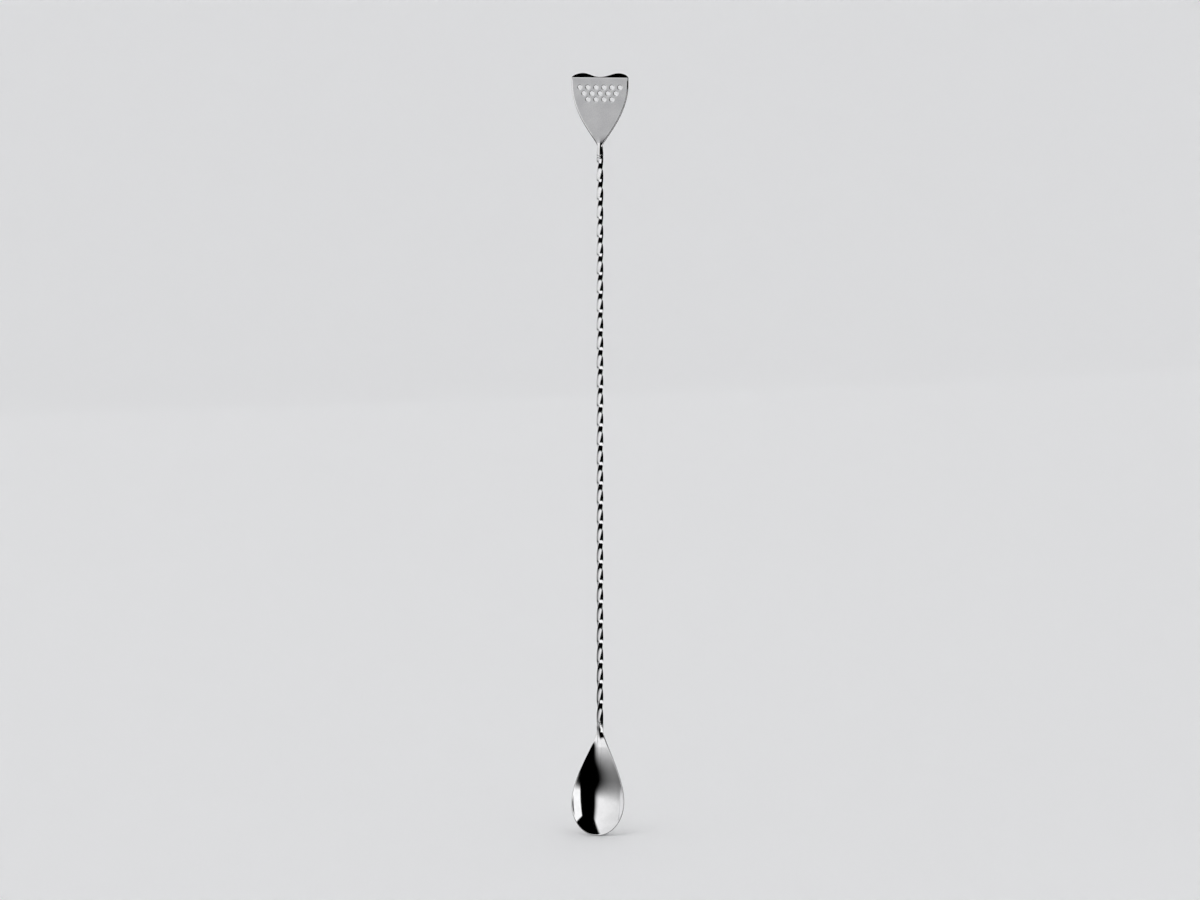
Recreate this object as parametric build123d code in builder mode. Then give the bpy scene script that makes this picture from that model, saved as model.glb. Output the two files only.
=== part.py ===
"""Bar spoon: teardrop bowl, twisted square bar and perforated strainer head, welded in line.

Frame, in millimetres: +Z runs up the bar to the strainer head, -Y is the side that the bowl
opens to, and the origin is the middle of the twisted bar, where the fingers hold it.
"""
import os
from math import asin, cos, degrees, pi, radians, sin, sqrt, tan

from build123d import *

os.makedirs("parts", exist_ok=True)

# Twisted bar
bar_side = 2.25
bar_edge_radius = 0.15
twist_length = 260.0
quarter_turns = 29
twist_lag = 0.45  # quarter turns by which the middle lags behind an even twist

# Polished butt welds between the bar and the two necks
weld_length = 0.8
weld_proud = 0.2  # by which the seam is wider than the bar, side to side
weld_edge_radius = 0.5

# Bowl, measured in the plane of its rim
bowl_length = 48.4  # from the shoulder under the neck to the tip
bowl_width = 24.6
bowl_widest_from_tip = 15.3
bowl_depth = 5.4
bowl_wall = 1.0
bowl_tilt = 10.5  # degrees that the rim leans forward from the bar
bowl_neck_length = 2.7  # from the weld to the shoulder
bowl_neck_end_width = 4.0  # of the ridge where the neck is lost in the bowl
bowl_shoulder_width = 3.0

# Strainer head
head_width = 26.3
head_height = 35.7  # from the weld to the bend of the lip
head_thickness = 1.4
head_neck_length = 4.5  # from the weld to where the plate starts to widen
head_neck_run = 7.0  # over which the neck flattens out into the plate
head_neck_end_width = 4.0  # of the ridge where the neck is lost in the plate
head_shoulder_width = 2.6

# Lip bent back from the top of the head, measured along its own slope
lip_angle = 58.0  # degrees away from the plate
lip_lobe_length = 3.8
lip_lobe_offset = 8.3  # from the middle of the head to the crest of each lobe
lip_dip_length = 0.8
lip_bend_radius = 0.3  # on the front of the bend

# Drain holes
hole_diameter = 1.95
hole_chamfer = 0.3
hole_pitch = 3.7
row_pitch = 2.75
first_row_below_bend = 4.4
holes_per_row = (6, 5, 4)

# How far each outline's curves keep to their end directions, as shares of the side they run on
bowl_shoulder_pull = 0.14
bowl_flank_pull = 0.37
bowl_toe_pull = 0.53
bowl_tip_pull = 0.61
head_foot_pull = 0.07
head_flank_rise = 0.38
lip_corner_pull = 0.56
lip_crest_pull = 0.36
lip_dip_pull = 0.43
neck_end_depth = 0.8  # share of the wall that the necks' buried ends take up

# Places that follow from the sizes above
twist_end = twist_length / 2
weld_end = twist_end + weld_length
bar_diagonal = bar_side * sqrt(2)


def twist_angle(share):
    """Degrees that the section has turned, at a share of the twisted length from its foot."""
    return 90 * (quarter_turns * share - twist_lag * sin(pi * share))


def neck_section(plane, across, deep):
    """A rhombus, corners to the sides, front and back, rounded like the bar's edges."""
    with BuildSketch(plane, mode=Mode.PRIVATE) as section:
        Polygon((across / 2, 0), (0, deep / 2), (-across / 2, 0), (0, -deep / 2), align=None)
        fillet(section.vertices(), bar_edge_radius)
    return section.sketch


# Twisted bar: a rounded square that starts and ends with one corner to the front, drawn as
# one stretch of constant pitch for each quarter turn
with BuildPart() as twisted_shaft:
    for span in range(quarter_turns):
        low = twist_angle(span / quarter_turns)
        high = twist_angle((span + 1) / quarter_turns)
        rise = twist_length / quarter_turns
        foot = rise * span - twist_end
        pitch = rise * 360 / (high - low)
        with BuildLine(mode=Mode.PRIVATE) as axis_line:
            Line((0, 0, foot), (0, 0, foot + rise))
        with BuildLine(mode=Mode.PRIVATE) as guide:
            Helix(pitch, rise, bar_side, center=(0, 0, foot))
        with BuildSketch(Plane.XY.offset(foot)):
            RectangleRounded(bar_side, bar_side, bar_edge_radius, rotation=45 + low)
        sweep(path=axis_line.line, binormal=guide.edges()[0])
twisted_shaft.part.label = "twisted_shaft"
export_step(twisted_shaft.part, "parts/twisted_shaft.step")

# Welds: short polished seams, rounder and slightly wider than the bar
for weld_name, weld_foot in (("bowl_weld", -weld_end), ("head_weld", twist_end)):
    with BuildPart() as weld:
        with BuildSketch(Plane.XY.offset(weld_foot)):
            RectangleRounded(
                bar_side + weld_proud, bar_side + weld_proud, weld_edge_radius, rotation=45)
        extrude(amount=weld_length)
        seam_ends = weld.faces().filter_by(Axis.Z)
        chamfer(seam_ends.edges(), weld_proud / 2)
    weld.part.label = weld_name
    export_step(weld.part, f"parts/{weld_name}.step")

# Bowl: a dish with the same arc across it everywhere, deep enough at each station to keep
# the rim in one plane. In that plane local x runs across, y towards the tip and z backwards.
rim_radius = bowl_width / 2
dish_radius = (rim_radius**2 + bowl_depth**2) / (2 * bowl_depth)
widest_at = bowl_length - bowl_widest_from_tip
tilt = radians(bowl_tilt)
rim_plane = Plane(
    origin=(0, -bowl_wall / 2, -weld_end - bowl_neck_length),
    x_dir=(1, 0, 0),
    z_dir=(0, cos(tilt), -sin(tilt)))
shoulder = (bowl_shoulder_width / 2, 0)
widest = (rim_radius, widest_at)
tip = (0, bowl_length)
with BuildSketch(rim_plane.offset(-bowl_wall)) as bowl_outline:
    with BuildLine():
        flank = Bezier(
            shoulder,
            (shoulder[0], bowl_shoulder_pull * widest_at),
            (rim_radius, (1 - bowl_flank_pull) * widest_at),
            widest)
        toe = Bezier(
            widest,
            (rim_radius, widest_at + bowl_toe_pull * bowl_widest_from_tip),
            (bowl_tip_pull * rim_radius, bowl_length),
            tip)
        Line(shoulder, (0, 0))
        mirror(about=Plane.YZ)
    make_face()


def dish_depth(half_width_squared):
    """Depth of the dish's middle under a rim of this half width; negative past the tip."""
    return dish_radius - sqrt(dish_radius**2 - half_width_squared)


# Stations from the shoulder: distance along the rim's plane and squared half width there
rim_points = [flank @ (step / 6) for step in range(7)] + [toe @ (step / 4) for step in range(1, 5)]
stations = [(point.Y, point.X**2) for point in rim_points]
past_tip = 2 * bowl_wall
last_fall = stations[-2][1] / (stations[-1][0] - stations[-2][0])
stations.append((bowl_length + past_tip, -last_fall * past_tip))
neck_end_along, neck_end_squared = stations[2]
past_rim = 8  # degrees by which the dish's arc overshoots the rim at the widest place
dish_half_angle = degrees(asin(rim_radius / dish_radius)) + past_rim
with BuildPart() as spoon_bowl:
    for along, half_width_squared in stations:
        middle = rim_plane.from_local_coords((0, along, dish_depth(half_width_squared)))
        with BuildSketch(Plane(origin=middle, x_dir=(1, 0, 0), z_dir=rim_plane.y_dir)):
            with BuildLine():
                centre = (0, dish_radius)
                start = 270 - dish_half_angle
                inner = CenterArc(centre, dish_radius, start, 2 * dish_half_angle)
                outer = CenterArc(centre, dish_radius + bowl_wall, start, 2 * dish_half_angle)
                Line(inner @ 0, outer @ 0)
                Line(inner @ 1, outer @ 1)
            make_face()
    loft()
    extrude(
        bowl_outline.sketch,
        amount=bowl_depth + 3 * bowl_wall,
        dir=rim_plane.z_dir,
        mode=Mode.INTERSECT)
    # The neck goes from the bar's own section to a flat ridge inside the wall of the dish
    neck_start = Plane.XY.offset(-weld_end)
    mid_wall = dish_depth(neck_end_squared) + bowl_wall / 2
    in_wall = rim_plane.from_local_coords((0, neck_end_along, mid_wall))
    neck_end = Plane(origin=in_wall, x_dir=(1, 0, 0), z_dir=-rim_plane.y_dir)
    loft([
        neck_section(neck_start, bar_diagonal, bar_diagonal),
        neck_section(neck_end, bowl_neck_end_width, neck_end_depth * bowl_wall)])
spoon_bowl.part.label = "spoon_bowl"
export_step(spoon_bowl.part, "parts/spoon_bowl.step")

# Lip: a strip bent back over the top of the plate and cut to two lobes, square to its slope
bend_height = weld_end + head_height
slope = radians(lip_angle)
half_thickness = head_thickness / 2
along_slope = Vector(0, sin(slope), cos(slope))
through_lip = Vector(0, cos(slope), -sin(slope))
front_bend = Vector(0, -half_thickness, bend_height)
back_bend = Vector(0, half_thickness, bend_height - head_thickness * tan(slope / 2))
lip_end = front_bend + along_slope * (lip_lobe_length + head_thickness)
into_plate = Vector(0, 0, head_thickness)
lip_plane = Plane(origin=front_bend, x_dir=(1, 0, 0), z_dir=-through_lip)
with BuildPart() as lip:
    with BuildSketch(Plane.YZ.offset(-head_width / 2)):
        with BuildLine():
            corners = [
                front_bend - into_plate, front_bend, lip_end,
                lip_end + through_lip * head_thickness, back_bend, back_bend - into_plate]
            Polyline(*[(corner.Y, corner.Z) for corner in corners], close=True)
        make_face()
    extrude(amount=head_width)
    bend_edge = lip.edges().filter_by(Axis.X).sort_by_distance(front_bend)[0]
    fillet(bend_edge, lip_bend_radius)
    with BuildSketch(lip_plane.offset(2 * head_thickness)):
        with BuildLine():
            corner = (head_width / 2, 0)
            crest = (lip_lobe_offset, lip_lobe_length)
            dip = (0, lip_dip_length)
            Bezier(
                corner,
                (corner[0], lip_corner_pull * crest[1]),
                (crest[0] + lip_crest_pull * (corner[0] - crest[0]), crest[1]),
                crest)
            Bezier(
                crest,
                ((1 - lip_crest_pull) * crest[0], crest[1]),
                (lip_dip_pull * crest[0], dip[1]),
                dip)
            below = -3 * head_thickness
            Polyline(corner, (corner[0], below), (0, below))
            mirror(about=Plane.YZ)
        make_face()
    extrude(amount=-6 * head_thickness, mode=Mode.INTERSECT)

# Strainer head: the plate, the lip on top, and rows of holes that step in as the plate narrows
plate_plane = Plane.XZ.offset(half_thickness)
with BuildPart() as strainer_head:
    with BuildSketch(plate_plane):
        with BuildLine():
            foot = (head_shoulder_width / 2, weld_end + head_neck_length)
            shoulder = (head_width / 2, bend_height - 2 * into_plate.Z)
            Line((0, foot[1]), foot)
            Bezier(
                foot,
                (foot[0], foot[1] + head_foot_pull * head_height),
                (shoulder[0], foot[1] + head_flank_rise * head_height),
                shoulder)
            Polyline(shoulder, (shoulder[0], back_bend.Z), (0, back_bend.Z))
            mirror(about=Plane.YZ)
        make_face()
    extrude(amount=-head_thickness)
    add(lip.part)
    neck_start = Plane.XY.offset(weld_end)
    neck_end = Plane.XY.offset(weld_end + head_neck_length + head_neck_run)
    loft([
        neck_section(neck_start, bar_diagonal, bar_diagonal),
        neck_section(neck_end, head_neck_end_width, neck_end_depth * head_thickness)])
    for row, holes in enumerate(holes_per_row):
        row_height = bend_height - first_row_below_bend - row * row_pitch
        with Locations(plate_plane * Pos(0, row_height)):
            with GridLocations(hole_pitch, 0, holes, 1):
                Hole(hole_diameter / 2)
    hole_rims = strainer_head.edges().filter_by(
        lambda edge: edge.geom_type == GeomType.CIRCLE
        and abs(edge.radius - hole_diameter / 2) < hole_chamfer / 10)
    chamfer(hole_rims, hole_chamfer)
strainer_head.part.label = "strainer_head"
export_step(strainer_head.part, "parts/strainer_head.step")
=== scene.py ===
from math import ceil, cos, pi, radians, sin, sqrt, tan

import bmesh
import bpy
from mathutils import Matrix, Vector
from mathutils.geometry import delaunay_2d_cdt


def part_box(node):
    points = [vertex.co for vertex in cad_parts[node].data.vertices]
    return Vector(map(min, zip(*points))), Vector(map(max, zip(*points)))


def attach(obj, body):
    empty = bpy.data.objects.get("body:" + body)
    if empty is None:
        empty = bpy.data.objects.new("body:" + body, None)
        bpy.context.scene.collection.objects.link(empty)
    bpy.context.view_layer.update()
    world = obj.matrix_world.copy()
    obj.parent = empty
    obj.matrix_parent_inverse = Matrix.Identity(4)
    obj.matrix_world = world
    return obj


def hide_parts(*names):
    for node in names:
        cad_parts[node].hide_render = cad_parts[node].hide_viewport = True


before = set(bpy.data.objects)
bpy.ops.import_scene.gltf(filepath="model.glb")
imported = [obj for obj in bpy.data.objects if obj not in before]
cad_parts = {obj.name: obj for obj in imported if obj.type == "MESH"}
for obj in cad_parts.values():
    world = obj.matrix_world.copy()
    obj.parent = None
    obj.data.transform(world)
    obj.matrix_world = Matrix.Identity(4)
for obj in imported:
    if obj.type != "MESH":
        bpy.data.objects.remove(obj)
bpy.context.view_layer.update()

MM = 0.001
SAME_POINT = 1e-4  # millimetres within which points are joined

# ---------------------------------------------------------------------------------------
# Places taken from the frame, in millimetres
# ---------------------------------------------------------------------------------------
bowl_low, bowl_high = [Vector(corner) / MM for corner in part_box("spoon_bowl")]
bar_low, bar_high = [Vector(corner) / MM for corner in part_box("twisted_shaft")]
head_low = Vector(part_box("strainer_head")[0]) / MM

# ---------------------------------------------------------------------------------------
# Small helpers
# ---------------------------------------------------------------------------------------


def mix(a, b, share):
    return a + (b - a) * share


def smoothstep(low, high, value):
    share = min(max((value - low) / (high - low), 0.0), 1.0)
    return share * share * (3 - 2 * share)


def bezier(p0, p1, p2, p3, steps=200):
    """Points along a cubic curve, both ends included."""
    points = []
    for step in range(steps + 1):
        t = step / steps
        weights = ((1 - t) ** 3, 3 * (1 - t) ** 2 * t, 3 * (1 - t) * t * t, t ** 3)
        points.append(Vector((
            sum(w * p[0] for w, p in zip(weights, (p0, p1, p2, p3))),
            sum(w * p[1] for w, p in zip(weights, (p0, p1, p2, p3))))))
    return points


def evenly_spaced(points, spacing):
    """The same line with points a nearly equal distance apart, both ends kept."""
    lengths = [0.0]
    for a, b in zip(points, points[1:]):
        lengths.append(lengths[-1] + (b - a).length)
    count = max(1, ceil(lengths[-1] / spacing))
    result = []
    index = 0
    for step in range(count + 1):
        target = lengths[-1] * step / count
        while index < len(points) - 2 and lengths[index + 1] < target:
            index += 1
        span = lengths[index + 1] - lengths[index]
        share = (target - lengths[index]) / span if span else 0.0
        result.append(points[index].lerp(points[index + 1], min(share, 1.0)))
    return result


def inward_normals(loop):
    """Unit normals of a closed counter-clockwise loop, pointing inside."""
    normals = []
    for index, point in enumerate(loop):
        before = loop[index - 1]
        after = loop[(index + 1) % len(loop)]
        along = (after - point).normalized() + (point - before).normalized()
        normals.append(Vector((-along.y, along.x)).normalized())
    return normals


def add_mesh(name, verts, faces, materials, face_materials=None, normals=None):
    """Make an object from millimetre points, joining points that coincide.

    normals holds an exact normal for each point, or None where the faces round it decide.
    """
    mesh = bpy.data.meshes.new(name)
    mesh.from_pydata([Vector(v) * MM for v in verts], [], faces)
    for material in materials:
        mesh.materials.append(material)
    if face_materials:
        mesh.polygons.foreach_set("material_index", face_materials)
    work = bmesh.new()
    work.from_mesh(mesh)
    exact = work.verts.layers.float_vector.new("exact_normal")
    if normals:
        for vert, normal in zip(work.verts, normals):
            if normal:
                vert[exact] = normal
    bmesh.ops.remove_doubles(work, verts=work.verts, dist=SAME_POINT * MM)
    bmesh.ops.recalc_face_normals(work, faces=work.faces)
    for face in work.faces:
        face.smooth = True
    work.normal_update()
    kept = [vert[exact] if vert[exact].length > 0.5 else vert.normal for vert in work.verts]
    kept = [normal.copy() for normal in kept]
    work.verts.layers.float_vector.remove(exact)
    work.to_mesh(mesh)
    work.free()
    if normals:
        mesh.normals_split_custom_set_from_vertices(kept)
    piece = bpy.data.objects.new(name, mesh)
    bpy.context.scene.collection.objects.link(piece)
    return piece


def exact_normal(place, x, along, face, *rest):
    """Normal of the surface that place describes, on its front (face -1) or back (face 1)."""
    step = 0.01
    across = Vector(place(x + step, along, face, *rest)) - Vector(
        place(x - step, along, face, *rest))
    down = Vector(place(x, along + step, face, *rest)) - Vector(
        place(x, along - step, face, *rest))
    normal = across.cross(down).normalized()
    return normal if normal.y * face > 0 else -normal


# ---------------------------------------------------------------------------------------
# Materials
# ---------------------------------------------------------------------------------------


def new_material(name):
    material = bpy.data.materials.new(name)
    material.use_nodes = True
    nodes = material.node_tree.nodes
    nodes.clear()
    output = nodes.new("ShaderNodeOutputMaterial")
    shader = nodes.new("ShaderNodeBsdfPrincipled")
    material.node_tree.links.new(shader.outputs["BSDF"], output.inputs["Surface"])
    return material, shader


class Graph:
    """A few shorthands for wiring up a material's or a world's nodes."""

    def __init__(self, tree):
        self.tree = tree

    def add(self, kind, inputs=(), **settings):
        node = self.tree.nodes.new(kind)
        for key, value in settings.items():
            setattr(node, key, value)
        for socket, value in dict(inputs).items():
            if isinstance(value, bpy.types.NodeSocket):
                self.tree.links.new(value, node.inputs[socket])
            else:
                node.inputs[socket].default_value = value
        return node

    def math(self, operation, *values, clamp=False):
        node = self.add(
            "ShaderNodeMath", dict(enumerate(values)), operation=operation, use_clamp=clamp)
        return node.outputs[0]

    def scale(self, value, low, high, new_low=0.0, new_high=1.0):
        """Carry a value smoothly from one range to another."""
        node = self.add("ShaderNodeMapRange", {
            "Value": value, "From Min": low, "From Max": high,
            "To Min": new_low, "To Max": new_high}, interpolation_type="SMOOTHSTEP")
        return node.outputs["Result"]

    def noise(self, vector, scale, detail=2.0):
        node = self.add("ShaderNodeTexNoise", {
            "Vector": vector, "Scale": scale, "Detail": detail})
        return node.outputs["Fac"]

    def stretched(self, vector, x, y, z):
        """Coordinates multiplied along each axis, which squeezes a pattern along it."""
        node = self.add("ShaderNodeMapping", {"Vector": vector, "Scale": (x, y, z)})
        return node.outputs[0]

    def bump(self, height, distance, strength):
        node = self.add("ShaderNodeBump", {
            "Height": height, "Distance": distance, "Strength": strength})
        return node.outputs[0]


def polished_steel(name, tint_low, tint_high, rough_low, rough_high):
    """Buffed steel: faint polishing lines, clouds of slightly duller metal and a soft tint."""
    material, shader = new_material(name)
    graph = Graph(material.node_tree)
    place = graph.add("ShaderNodeTexCoord").outputs["Object"]
    clouds = graph.noise(place, 260.0, 4.0)
    lines = graph.noise(graph.stretched(place, 9000.0, 9000.0, 500.0), 1.0, 3.0)
    tint = graph.add("ShaderNodeMix", {
        "Factor": graph.scale(clouds, 0.3, 0.7), "A": tint_low, "B": tint_high},
        data_type="RGBA")
    graph.tree.links.new(tint.outputs["Result"], shader.inputs["Base Color"])
    mottle = graph.math("MULTIPLY_ADD", lines, 0.35, graph.math("MULTIPLY", clouds, 0.65))
    graph.tree.links.new(
        graph.scale(mottle, 0.3, 0.7, rough_low, rough_high), shader.inputs["Roughness"])
    graph.tree.links.new(graph.bump(lines, 0.000002, 0.15), shader.inputs["Normal"])
    shader.inputs["Metallic"].default_value = 1.0
    return material


def satin_steel(name):
    """Blasted steel: a fine even grain over long soft clouds of lighter and darker metal."""
    material, shader = new_material(name)
    graph = Graph(material.node_tree)
    place = graph.add("ShaderNodeTexCoord").outputs["Object"]
    grain = graph.noise(place, 3800.0, 2.0)
    clouds = graph.noise(place, 150.0, 3.0)
    shade = graph.math("MULTIPLY_ADD", grain, 0.6, graph.math("MULTIPLY", clouds, 0.4))
    tint = graph.add("ShaderNodeMix", {
        "Factor": graph.scale(shade, 0.3, 0.7),
        "A": (0.68, 0.68, 0.70, 1), "B": (0.86, 0.86, 0.87, 1)}, data_type="RGBA")
    graph.tree.links.new(tint.outputs["Result"], shader.inputs["Base Color"])
    graph.tree.links.new(
        graph.scale(grain, 0.25, 0.75, 0.36, 0.50), shader.inputs["Roughness"])
    graph.tree.links.new(graph.bump(grain, 0.00002, 0.5), shader.inputs["Normal"])
    shader.inputs["Metallic"].default_value = 1.0
    return material


polish = polished_steel(
    "polished_steel", (0.83, 0.83, 0.84, 1), (0.89, 0.89, 0.90, 1), 0.03, 0.07)
drawn = polished_steel(
    "drawn_steel", (0.80, 0.80, 0.82, 1), (0.88, 0.88, 0.89, 1), 0.06, 0.13)
satin = satin_steel("satin_steel")

# ---------------------------------------------------------------------------------------
# Twisted bar: a rounded square whose middle turns lag a little behind an even twist
# ---------------------------------------------------------------------------------------
BAR_SIDE = 2.25
BAR_EDGE = 0.15
QUARTER_TURNS = 29
TWIST_LAG = 0.45
TWIST_EASE = 2.5  # length at each end over which the twist starts and stops
ROWS_PER_QUARTER = 22
bar_length = bar_high.z - bar_low.z


def rounded_square(side, radius, turn, arc_steps=5, flat_steps=4):
    """Points round a rounded square whose first flat faces the angle turn."""
    points = []
    reach = side / 2 - radius
    for quarter in range(4):
        facing = turn + quarter * pi / 2
        out = Vector((cos(facing), sin(facing)))
        across = Vector((-out.y, out.x))
        for step in range(flat_steps):
            points.append(out * side / 2 + across * mix(-reach, reach, step / flat_steps))
        corner = out * reach + across * reach
        for step in range(arc_steps):
            angle = facing + pi / 2 * step / arc_steps
            points.append(corner + Vector((cos(angle), sin(angle))) * radius)
    return points


def twist_turn(share):
    """Angle of the section at a share of the bar's length, eased in and out at its ends."""
    ease = TWIST_EASE / bar_length
    mirrored = min(share, 1 - share)
    run = mirrored ** 2 / (2 * ease) if mirrored < ease else mirrored - ease / 2
    run /= 1 - ease
    even = run if share < 0.5 else 1 - run
    return pi / 4 + pi / 2 * (QUARTER_TURNS * even - TWIST_LAG * sin(pi * even))


def tube(sections):
    """Faces of a closed tube through equal rings of points, with flat ends."""
    verts = []
    faces = []
    count = len(sections[0])
    for ring in sections:
        verts.extend(ring)
    for row in range(len(sections) - 1):
        for column in range(count):
            a = row * count + column
            b = row * count + (column + 1) % count
            faces.append((a, b, b + count, a + count))
    faces.append(tuple(reversed(range(count))))
    faces.append(tuple(range(len(verts) - count, len(verts))))
    return verts, faces


def make_bar():
    rows = QUARTER_TURNS * ROWS_PER_QUARTER
    rings = []
    for row in range(rows + 1):
        share = row / rows
        section = rounded_square(BAR_SIDE, BAR_EDGE, twist_turn(share))
        height = mix(bar_low.z, bar_high.z, share)
        rings.append([(p.x, p.y, height) for p in section])
    verts, faces = tube(rings)
    bar = add_mesh("twisted_bar", verts, faces, [drawn])
    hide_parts("twisted_shaft")
    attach(bar, "root")


# ---------------------------------------------------------------------------------------
# Welds: polished seams that swell a little between the bar and each neck
# ---------------------------------------------------------------------------------------
WELD_SWELL = 0.13
WELD_EDGE = 0.5
WELD_ROWS = 12


def make_weld(node):
    low, high = [Vector(corner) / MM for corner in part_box(node)]
    rings = []
    for row in range(WELD_ROWS + 1):
        share = row / WELD_ROWS
        swell = sqrt(max(sin(pi * share), 0.0))
        section = rounded_square(
            BAR_SIDE + WELD_SWELL * swell, mix(BAR_EDGE, WELD_EDGE, swell), pi / 4, 8, 6)
        rings.append([(p.x, p.y, mix(low.z, high.z, share)) for p in section])
    verts, faces = tube(rings)
    seam = add_mesh(node.replace("weld", "seam"), verts, faces, [polish])
    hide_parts(node)
    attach(seam, "root")


# ---------------------------------------------------------------------------------------
# Bowl: a dish of constant cross arc inside a teardrop rim, and the neck above it
# ---------------------------------------------------------------------------------------
BOWL_WIDTH = 24.6
BOWL_LENGTH = 48.4
BOWL_WIDEST_FROM_TIP = 15.3
BOWL_DEPTH = 5.4
BOWL_WALL = 1.0
BOWL_TILT = radians(10.5)
BOWL_NECK_LENGTH = 2.7
BOWL_SHOULDER_WIDTH = 3.0
RIM_ROUND = 0.42  # width of the rounded rim, seen from the front
NECK_EDGE = 0.06  # softness of the neck's edges and ridge
# How far the outline's curves keep to their end directions, as shares of the side they run on
SHOULDER_PULL = 0.14
FLANK_PULL = 0.37
TOE_PULL = 0.53
TIP_PULL = 0.61
bar_corner = BAR_SIDE / sqrt(2) - BAR_EDGE * (sqrt(2) - 1)
dish_radius = ((BOWL_WIDTH / 2) ** 2 + BOWL_DEPTH ** 2) / (2 * BOWL_DEPTH)


def edge_round(distance, width):
    """Rises from 0 at an edge to 1 at the given distance inside it, as a quarter ellipse."""
    if distance >= width:
        return 1.0
    return sqrt(max(1 - (1 - distance / width) ** 2, 0.0))


def ridge_height(x, half_width, distance):
    """Height of a rhombus section, 1 at its middle and 0 at its sides, with soft edges."""
    slope = 1 - (sqrt(x * x + NECK_EDGE ** 2) - NECK_EDGE) / max(half_width, NECK_EDGE)
    soft = sqrt(max(distance * (distance + 2 * NECK_EDGE), 0.0)) / (distance + NECK_EDGE)
    return max(slope, 0.0) * soft


def bowl_side():
    """Right side of the outline, from the weld to the tip: across, and along the rim's plane."""
    half = BOWL_WIDTH / 2
    widest = BOWL_LENGTH - BOWL_WIDEST_FROM_TIP
    shoulder = BOWL_SHOULDER_WIDTH / 2
    neck = bezier(
        (bar_corner, -BOWL_NECK_LENGTH), (bar_corner, -0.6 * BOWL_NECK_LENGTH),
        (shoulder, -0.4 * BOWL_NECK_LENGTH), (shoulder, 0), 20)
    flank = bezier(
        (shoulder, 0), (shoulder, SHOULDER_PULL * widest),
        (half, (1 - FLANK_PULL) * widest), (half, widest))
    toe = bezier(
        (half, widest), (half, widest + TOE_PULL * BOWL_WIDEST_FROM_TIP),
        (TIP_PULL * half, BOWL_LENGTH), (0, BOWL_LENGTH))
    return neck + flank[1:] + toe[1:]


def squared_width_lookup(side):
    """A function giving the outline's squared half width at a distance along."""
    table = [(point.y, point.x ** 2) for point in side]

    def look(along):
        if along <= table[0][0]:
            return table[0][1]
        if along >= table[-1][0]:
            return table[-1][1]
        low, high = 0, len(table) - 1
        while high - low > 1:
            middle = (low + high) // 2
            if table[middle][0] <= along:
                low = middle
            else:
                high = middle
        a, b = table[low], table[high]
        share = (along - a[0]) / (b[0] - a[0]) if b[0] > a[0] else 0.0
        return mix(a[1], b[1], share)

    return look


def make_bowl():
    side = bowl_side()
    squared_width = squared_width_lookup(side)
    shoulder_z = bowl_high.z - BOWL_NECK_LENGTH

    def place(x, along, face, distance):
        """Point on the front (face -1) or back (face 1) surface."""
        w2 = squared_width(along)
        root = sqrt(dish_radius ** 2 - x * x)
        dish = root - sqrt(dish_radius ** 2 - w2) + BOWL_WALL / 2
        neck_middle = (BOWL_WALL / 2 + along * sin(BOWL_TILT)) / cos(BOWL_TILT)
        into_bowl = smoothstep(-1.5, 8.0, along)
        middle = mix(neck_middle, dish, into_bowl)
        lean = sqrt(1 + (x / root) ** 2)
        wall = BOWL_WALL / 2 * lean * edge_round(distance, RIM_ROUND)
        deep = mix(bar_corner, BOWL_WALL / 2, smoothstep(-BOWL_NECK_LENGTH, 6.5, along))
        ridge = deep * ridge_height(x, sqrt(w2), min(distance, sqrt(w2) - abs(x)))
        depth = middle + face * mix(ridge, wall, into_bowl)
        y = -BOWL_WALL / 2 + depth * cos(BOWL_TILT) - along * sin(BOWL_TILT)
        z = shoulder_z - depth * sin(BOWL_TILT) - along * cos(BOWL_TILT)
        if along <= -BOWL_NECK_LENGTH + 1e-6:
            z = bowl_high.z
        return (x, y, z)

    right = evenly_spaced(side, 0.45)
    cap_steps = 12
    cap = [Vector((mix(-bar_corner, bar_corner, step / cap_steps), -BOWL_NECK_LENGTH))
           for step in range(1, cap_steps)]
    left = [Vector((-p.x, p.y)) for p in reversed(right[:-1])]
    loop = right + left + cap
    count = len(loop)
    normals = inward_normals(loop)
    corners = {0: Vector((-1, 1)), len(right) + len(left) - 1: Vector((1, 1))}
    for index, normal in corners.items():
        normals[index] = normal
    normals[len(right) - 1] = Vector((0, -1))
    rim_steps = 7
    offsets = [RIM_ROUND * (1 - cos(pi / 2 * step / rim_steps)) for step in range(rim_steps + 1)]
    centre = Vector((0, 0.66 * BOWL_LENGTH))
    radial_steps = 56
    verts = []
    exact = []
    faces = []
    for face in (-1, 1):
        start = len(verts)
        inner = None
        for offset in offsets:
            inner = [p + n * offset for p, n in zip(loop, normals)]
            verts.extend(place(p.x, p.y, face, offset) for p in inner)
            exact.extend(None for p in inner)
        for step in range(1, radial_steps):
            share = step / radial_steps
            for p in inner:
                spot = (*p.lerp(centre, share), face, RIM_ROUND + (centre - p).length * share)
                verts.append(place(*spot))
                exact.append(exact_normal(place, *spot))
        rings = rim_steps + radial_steps
        for ring in range(rings - 1):
            for column in range(count):
                a = start + ring * count + column
                b = start + ring * count + (column + 1) % count
                faces.append((a, b, b + count, a + count))
        last = start + (rings - 1) * count
        spot = (centre.x, centre.y, face, BOWL_WIDTH)
        verts.append(place(*spot))
        exact.append(exact_normal(place, *spot))
        middle = len(verts) - 1
        for column in range(count):
            faces.append((last + column, last + (column + 1) % count, middle))
    back_start = len(verts) // 2
    first_cap = len(right) + len(left) - 1
    for column in range(first_cap, count):
        a, b = column, (column + 1) % count
        faces.append((a, b, b + back_start, a + back_start))
    bowl = add_mesh("teardrop_bowl", verts, faces, [polish], normals=exact)
    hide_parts("spoon_bowl")
    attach(bowl, "root")


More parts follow.
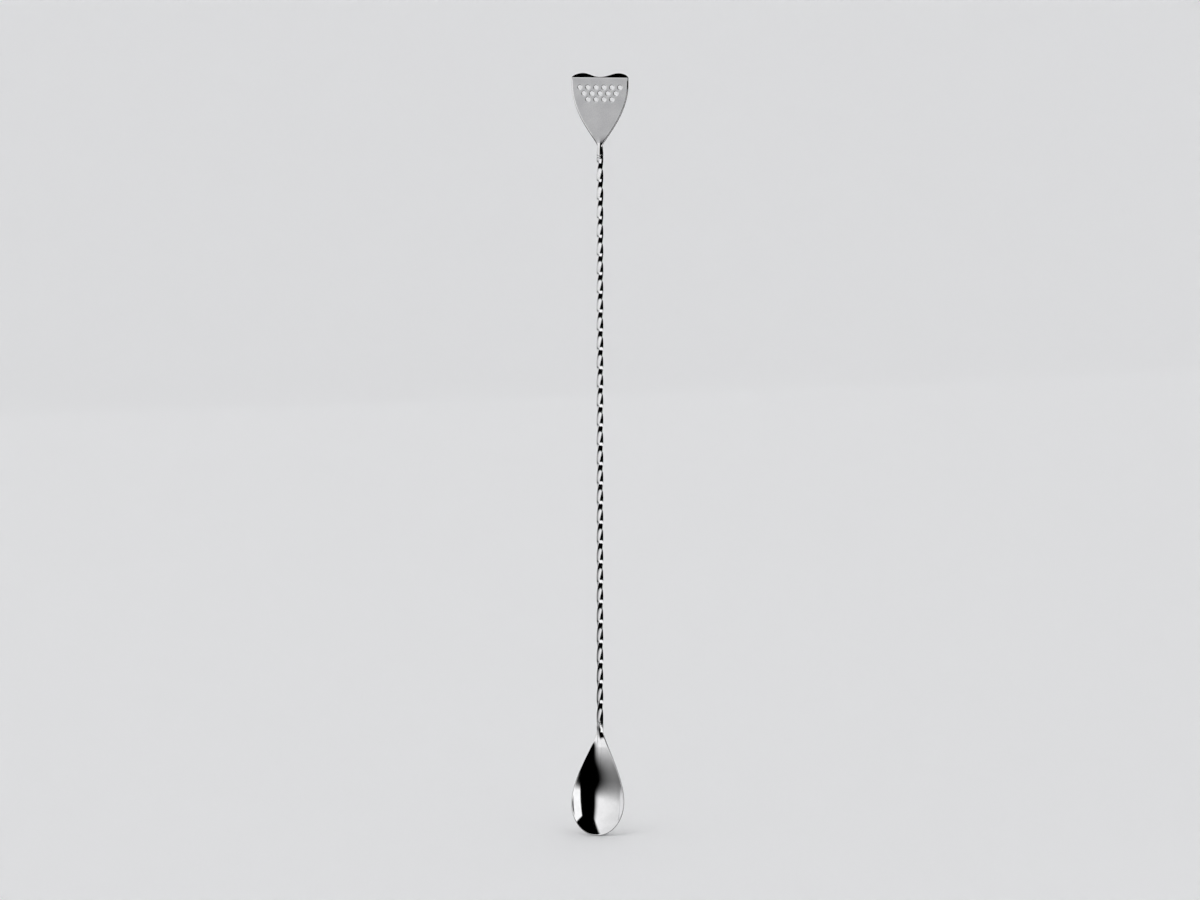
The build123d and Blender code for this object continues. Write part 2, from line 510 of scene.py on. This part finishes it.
# ---------------------------------------------------------------------------------------
# Strainer head: one bent sheet with a neck, two lobes and rows of drain holes
# ---------------------------------------------------------------------------------------
HEAD_WIDTH = 26.3
HEAD_HEIGHT = 35.7
HEAD_THICKNESS = 1.4
HEAD_NECK_LENGTH = 4.5
HEAD_SHOULDER_WIDTH = 2.6
HEAD_EDGE = 0.62  # width of the rounded edge round the plate
LIP_EDGE = 0.25  # and round the lip
LIP_ANGLE = radians(58)
LIP_LOBE_LENGTH = 3.8
LIP_LOBE_OFFSET = 8.3
LIP_DIP_LENGTH = 0.8
FRONT_BEND = 0.3
BACK_BEND = 0.15
HOLE_RADIUS = 0.975
HOLE_ROUND = 0.3
HOLE_PITCH = 3.7
ROW_PITCH = 2.75
FIRST_ROW_BELOW_BEND = 4.4
HOLES_PER_ROW = (6, 5, 4)
GUARD = 0.06  # flat margin beside a rounded edge, which keeps its shading off the flat
FOOT_PULL = 0.07
FLANK_RISE = 0.38
CORNER_PULL = 0.56
CREST_PULL = 0.36
DIP_PULL = 0.43


def head_side(base, bend):
    """Right side of the flat blank, from the weld to the dip of the lip."""
    half = HEAD_WIDTH / 2
    shoulder = HEAD_SHOULDER_WIDTH / 2
    foot = base + HEAD_NECK_LENGTH
    flank_end = bend - 2 * HEAD_THICKNESS
    neck = bezier(
        (bar_corner, base), (bar_corner, base + 0.6 * HEAD_NECK_LENGTH),
        (shoulder, foot - 0.5 * HEAD_NECK_LENGTH), (shoulder, foot), 30)
    flank = bezier(
        (shoulder, foot), (shoulder, foot + FOOT_PULL * HEAD_HEIGHT),
        (half, foot + FLANK_RISE * HEAD_HEIGHT), (half, flank_end))
    crest = (LIP_LOBE_OFFSET, bend + LIP_LOBE_LENGTH)
    lobe_out = bezier(
        (half, bend), (half, bend + CORNER_PULL * LIP_LOBE_LENGTH),
        (CREST_PULL * half + (1 - CREST_PULL) * crest[0], crest[1]), crest)
    dip = (0, bend + LIP_DIP_LENGTH)
    lobe_in = bezier(crest, ((1 - CREST_PULL) * crest[0], crest[1]), (DIP_PULL * crest[0], dip[1]), dip)
    return neck + flank[1:] + lobe_out + lobe_in[1:]


def inside(point, loop):
    """Whether a point is inside a closed loop."""
    result = False
    for a, b in zip(loop, loop[1:] + loop[:1]):
        if (a.y > point.y) != (b.y > point.y):
            if point.x < a.x + (b.x - a.x) * (point.y - a.y) / (b.y - a.y):
                result = not result
    return result


def make_head():
    base = head_low.z
    bend = base + HEAD_HEIGHT
    half_thick = HEAD_THICKNESS / 2
    side = head_side(base, bend)
    squared_width = squared_width_lookup([p for p in side if p.y < bend])
    front_flat_end = bend - FRONT_BEND * tan(LIP_ANGLE / 2)
    front_slope_start = bend + FRONT_BEND * tan(LIP_ANGLE / 2)
    drop = HEAD_THICKNESS * tan(LIP_ANGLE / 2)

    def bent(x, along, depth):
        """Point of the bent sheet; depth runs from -half_thick in front to half_thick behind."""
        q = (depth + half_thick) / HEAD_THICKNESS
        q = min(max(q, 0.0), 1.0)
        radius = mix(FRONT_BEND, BACK_BEND, q)
        corner = bend - drop * q
        back_off = radius * tan(LIP_ANGLE / 2)
        flat_end = corner - back_off
        straight = 3.0
        if along < front_flat_end:
            start = front_flat_end - straight
            if along <= start:
                return (x, depth, along)
            linear = (along - start) / straight
            return (x, depth, mix(start, flat_end, linear))
        if along < front_slope_start:
            turn = LIP_ANGLE * (along - front_flat_end) / (front_slope_start - front_flat_end)
            return (x, depth + radius * (1 - cos(turn)), flat_end + radius * sin(turn))
        beyond = along - front_slope_start + back_off
        return (x, depth + beyond * sin(LIP_ANGLE), corner + beyond * cos(LIP_ANGLE))

    def edge_share(along):
        """How wide the rounded edge is there, as a share of the plate's."""
        return mix(1.0, LIP_EDGE / HEAD_EDGE, smoothstep(bend - 2.0, bend, along))

    def half_depth(x, along, distance):
        """Half the thickness of the sheet at a point of the blank."""
        into_plate = smoothstep(base + 2.0, base + 10.0, along)
        plate = half_thick * edge_round(distance, HEAD_EDGE)
        if into_plate >= 1:
            return plate
        width = sqrt(squared_width(along))
        deep = mix(bar_corner, half_thick, smoothstep(base, base + 9.0, along))
        ridge = deep * ridge_height(x, width, min(distance, width - abs(x)))
        return mix(ridge, plate, into_plate)

    def place(x, along, face, distance):
        """Point on the front (face -1) or back (face 1), at a distance inside the outline."""
        return bent(x, along, face * half_depth(x, along, distance))

    right = evenly_spaced(side, 0.42)
    left = [Vector((-p.x, p.y)) for p in reversed(right[:-1])]
    cap_steps = 12
    cap = [Vector((mix(-bar_corner, bar_corner, step / cap_steps), base))
           for step in range(1, cap_steps)]
    loop = right + left + cap
    count = len(loop)
    normals = inward_normals(loop)
    normals[0] = Vector((-1, 1))
    normals[len(right) + len(left) - 1] = Vector((1, 1))
    edge_steps = 7
    offsets = [HEAD_EDGE * (1 - cos(pi / 2 * step / edge_steps)) for step in range(edge_steps + 1)]
    offsets.append(HEAD_EDGE + GUARD)

    # Rings round each hole, from the wall outwards: (radius, share of the half thickness)
    hole_steps = 5
    hole_rings = []
    for step in range(hole_steps + 1):
        angle = pi / 2 * step / hole_steps
        hole_rings.append((
            HOLE_RADIUS + HOLE_ROUND * (1 - cos(angle)),
            1 - HOLE_ROUND * 0.9 / half_thick * (1 - sin(angle))))
    hole_rings.append((HOLE_RADIUS + HOLE_ROUND + GUARD, 1.0))
    hole_segments = 40
    hole_centres = []
    for row, holes in enumerate(HOLES_PER_ROW):
        height = bend - FIRST_ROW_BELOW_BEND - row * ROW_PITCH
        for hole in range(holes):
            hole_centres.append(Vector((HOLE_PITCH * (hole - (holes - 1) / 2), height)))

    # Flat triangulation between the edge's guard ring, the holes' and a fine set of points
    guard_loop = [p + n * offsets[-1] * edge_share(p.y) for p, n in zip(loop, normals)]
    flat = list(guard_loop)
    edges = [(i, (i + 1) % count) for i in range(count)]
    guard_radius = hole_rings[-1][0]
    for centre in hole_centres:
        first = len(flat)
        for step in range(hole_segments):
            angle = 2 * pi * step / hole_segments
            flat.append(centre + Vector((cos(angle), sin(angle))) * guard_radius)
        edges += [(first + i, first + (i + 1) % hole_segments) for i in range(hole_segments)]

    def clear(point, margin):
        """Whether a point is inside the sheet and away from its edge and holes."""
        if not inside(point, guard_loop):
            return False
        if min((point - p).length for p in guard_loop) < margin:
            return False
        return all((point - c).length > guard_radius + margin for c in hole_centres)

    fine = []
    rows = [base + 0.7 + 0.35 * i for i in range(28)]
    rows += [mix(front_flat_end, front_slope_start, i / 8) for i in range(9)]
    rows += [front_slope_start + 0.4 * (i + 1) for i in range(10)]
    for height in rows:
        step = 0.3 if height < base + 12 else 0.45
        reach = int(HEAD_WIDTH / 2 / step)
        for i in range(-reach, reach + 1):
            point = Vector((i * step, height))
            if clear(point, 0.16):
                fine.append(point)
    rows = [base + 12 + 0.9 * i for i in range(int((HEAD_HEIGHT - 13) / 0.9))]
    for height in rows:
        reach = int(HEAD_WIDTH / 2 / 0.9)
        for i in range(-reach, reach + 1):
            point = Vector((i * 0.9, height))
            if clear(point, 0.35):
                fine.append(point)
    flat += fine
    found = delaunay_2d_cdt(flat, edges, [], 0, 1e-6)
    points, triangles = found[0], found[2]

    verts = []
    exact = []
    faces = []
    kinds = []

    def add_face(ids, kind):
        faces.append(tuple(ids))
        kinds.append(kind)

    for face in (-1, 1):
        start = len(verts)
        for offset in offsets:
            for p, n in zip(loop, normals):
                q = p + n * offset * edge_share(p.y)
                verts.append(place(q.x, q.y, face, offset))
                exact.append(None)
        for ring in range(len(offsets) - 1):
            for column in range(count):
                a = start + ring * count + column
                b = start + ring * count + (column + 1) % count
                add_face((a, b, b + count, a + count), 0)
        flat_start = len(verts)
        for p in points:
            verts.append(place(p.x, p.y, face, HEAD_EDGE + GUARD))
            exact.append(exact_normal(place, p.x, p.y, face, HEAD_EDGE + GUARD))
        for tri in triangles:
            middle = sum((points[i] for i in tri), Vector((0, 0))) / 3
            if not inside(middle, guard_loop):
                continue
            if any((middle - c).length < guard_radius * 0.995 for c in hole_centres):
                continue
            on_plate = middle.y < front_flat_end and face == -1 or middle.y < front_flat_end - 0.6
            kind = 1 if on_plate and middle.y > base + 6 else 0
            add_face([flat_start + i for i in tri], kind)
        for centre in hole_centres:
            first = len(verts)
            for radius, share in hole_rings:
                for step in range(hole_segments):
                    angle = 2 * pi * step / hole_segments
                    p = centre + Vector((cos(angle), sin(angle))) * radius
                    verts.append(bent(p.x, p.y, face * half_thick * share))
                    exact.append(None)
            for ring in range(len(hole_rings) - 1):
                for column in range(hole_segments):
                    a = first + ring * hole_segments + column
                    b = first + ring * hole_segments + (column + 1) % hole_segments
                    add_face((a, b, b + hole_segments, a + hole_segments), 0)
    back_start = len(verts) // 2
    for column in range(len(right) + len(left) - 1, count):
        a, b = column, (column + 1) % count
        add_face((a, b, b + back_start, a + back_start), 0)
    ring_size = len(hole_rings) * hole_segments
    holes_start = back_start - ring_size * len(hole_centres)
    for hole in range(len(hole_centres)):
        first = holes_start + hole * ring_size
        for column in range(hole_segments):
            a = first + column
            b = first + (column + 1) % hole_segments
            add_face((a, b, b + back_start, a + back_start), 0)
    head = add_mesh("perforated_head", verts, faces, [polish, satin], kinds, exact)
    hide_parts("strainer_head")
    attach(head, "root")


make_bar()
make_weld("bowl_weld")
make_weld("head_weld")
make_bowl()
make_head()

# ---------------------------------------------------------------------------------------
# Stage, light and camera
# ---------------------------------------------------------------------------------------
CAMERA_AZIMUTH = radians(10)
CAMERA_ELEVATION = radians(6)
CAMERA_DISTANCE = 3.0
FRAME_WIDTH = 0.5495  # what the frame spans at the spoon
AIM_HEIGHT = -0.004
FLOOR_REACH = 2.0
COVE_RADIUS = 3.0
COVE_HEIGHT = 3.0
SKY_LEVEL = 1.0
floor_z = bowl_low.z * MM


def add_stage(name, verts, faces, material):
    mesh = bpy.data.meshes.new(name)
    mesh.from_pydata(verts, [], faces)
    for polygon in mesh.polygons:
        polygon.use_smooth = True
    mesh.materials.append(material)
    piece = bpy.data.objects.new(name, mesh)
    bpy.context.scene.collection.objects.link(piece)
    return piece


def white_paper():
    """Matt white paper with a fine tooth."""
    material, shader = new_material("white_paper")
    graph = Graph(material.node_tree)
    place = graph.add("ShaderNodeNewGeometry").outputs["Position"]
    tooth = graph.noise(place, 700.0, 3.0)
    tint = graph.add("ShaderNodeMix", {
        "Factor": tooth, "A": (0.88, 0.885, 0.895, 1), "B": (0.92, 0.92, 0.925, 1)},
        data_type="RGBA")
    graph.tree.links.new(tint.outputs["Result"], shader.inputs["Base Color"])
    graph.tree.links.new(graph.bump(tooth, 0.00005, 0.2), shader.inputs["Normal"])
    shader.inputs["Roughness"].default_value = 0.9
    shader.inputs["Specular IOR Level"].default_value = 0.1
    return material


def make_paper():
    """A round paper floor that curves up into a backdrop; the steel doesn't mirror it."""
    turns = 96
    arc_steps = 24
    profile = [(0.2, 0.0), (1.0, 0.0), (FLOOR_REACH, 0.0)]
    for step in range(1, arc_steps + 1):
        angle = pi / 2 * step / arc_steps
        profile.append((
            FLOOR_REACH + COVE_RADIUS * sin(angle), COVE_RADIUS * (1 - cos(angle))))
    profile.append((FLOOR_REACH + COVE_RADIUS, COVE_RADIUS + COVE_HEIGHT))
    verts = []
    faces = [tuple(range(turns))]
    for radius, height in profile:
        for turn in range(turns):
            angle = 2 * pi * turn / turns
            verts.append((radius * cos(angle), radius * sin(angle), floor_z + height))
    for row in range(len(profile) - 1):
        for turn in range(turns):
            a = row * turns + turn
            b = row * turns + (turn + 1) % turns
            faces.append((b, a, a + turns, b + turns))
    paper = add_stage("paper_cove", verts, faces, white_paper())
    paper.visible_glossy = False


def make_softbox(name, azimuth, distance, width, bottom, top, levels, fade):
    """A flat panel facing the spoon, seen only in the steel. Sizes are in metres.

    azimuth is in degrees from the front towards the right. levels are its brightness at its
    two ends, the one at the smaller azimuth first, and fade is how far its edges soften,
    across and upwards.
    """
    angle = radians(azimuth)
    out = Vector((sin(angle), -cos(angle), 0))
    across = Vector((cos(angle), sin(angle), 0))
    verts = []
    for side, height in ((-1, bottom), (1, bottom), (1, top), (-1, top)):
        verts.append(out * distance + across * side * width / 2 + Vector((0, 0, height)))
    material = bpy.data.materials.new(name)
    material.use_nodes = True
    material.node_tree.nodes.clear()
    graph = Graph(material.node_tree)
    emission = graph.add("ShaderNodeEmission")
    output = graph.add("ShaderNodeOutputMaterial")
    graph.tree.links.new(emission.outputs[0], output.inputs["Surface"])
    place = graph.add("ShaderNodeNewGeometry").outputs["Position"]
    aside = graph.add("ShaderNodeVectorMath", {
        0: place, 1: across}, operation="DOT_PRODUCT").outputs["Value"]
    height = graph.add("ShaderNodeSeparateXYZ", {"Vector": place}).outputs["Z"]
    off_middle = graph.math("ABSOLUTE", aside)
    soft = graph.math(
        "MULTIPLY",
        graph.scale(off_middle, width / 2 - fade[0], width / 2, 1.0, 0.0),
        graph.math(
            "MULTIPLY",
            graph.scale(height, bottom, bottom + fade[1]),
            graph.scale(height, top - fade[1], top, 1.0, 0.0)))
    even = graph.math(
        "MULTIPLY_ADD", aside, (levels[1] - levels[0]) / width, (levels[0] + levels[1]) / 2)
    graph.tree.links.new(graph.math("MULTIPLY", soft, even), emission.inputs["Strength"])
    panel = add_stage(name, verts, [(0, 1, 2, 3)], material)
    panel.visible_camera = False
    panel.visible_diffuse = False
    panel.visible_shadow = False


def make_sky():
    """Even white light on the paper, which the steel doesn't mirror."""
    world = bpy.data.worlds.new("studio")
    bpy.context.scene.world = world
    world.use_nodes = True
    background = world.node_tree.nodes["Background"]
    background.inputs["Color"].default_value = (1, 1, 1, 1)
    background.inputs["Strength"].default_value = SKY_LEVEL
    world.cycles_visibility.glossy = False


make_paper()
make_sky()
make_softbox(
    "left_softbox", azimuth=-55, distance=1.0, width=3.9, bottom=-0.6, top=2.6,
    levels=(0.65, 1.1), fade=(1.0, 0.6))
make_softbox(
    "right_softbox", azimuth=65, distance=0.35, width=0.18, bottom=-0.25, top=0.125,
    levels=(1.1, 1.1), fade=(0.02, 0.03))
make_softbox(
    "back_softbox", azimuth=-155, distance=2.0, width=3.2, bottom=-0.6, top=2.5,
    levels=(0.85, 0.85), fade=(0.3, 0.5))
bpy.context.scene.view_settings.view_transform = "Standard"

camera_data = bpy.data.cameras.new("camera")
camera = bpy.data.objects.new("camera", camera_data)
bpy.context.scene.collection.objects.link(camera)
camera_data.sensor_width = 36
camera_data.lens = camera_data.sensor_width * CAMERA_DISTANCE / FRAME_WIDTH
camera_data.clip_end = 20
camera.rotation_euler = (pi / 2 - CAMERA_ELEVATION, 0, CAMERA_AZIMUTH)
towards_camera = Vector((
    sin(CAMERA_AZIMUTH) * cos(CAMERA_ELEVATION),
    -cos(CAMERA_AZIMUTH) * cos(CAMERA_ELEVATION),
    sin(CAMERA_ELEVATION)))
camera.location = Vector((0, 0, AIM_HEIGHT)) + towards_camera * CAMERA_DISTANCE
bpy.context.scene.camera = camera
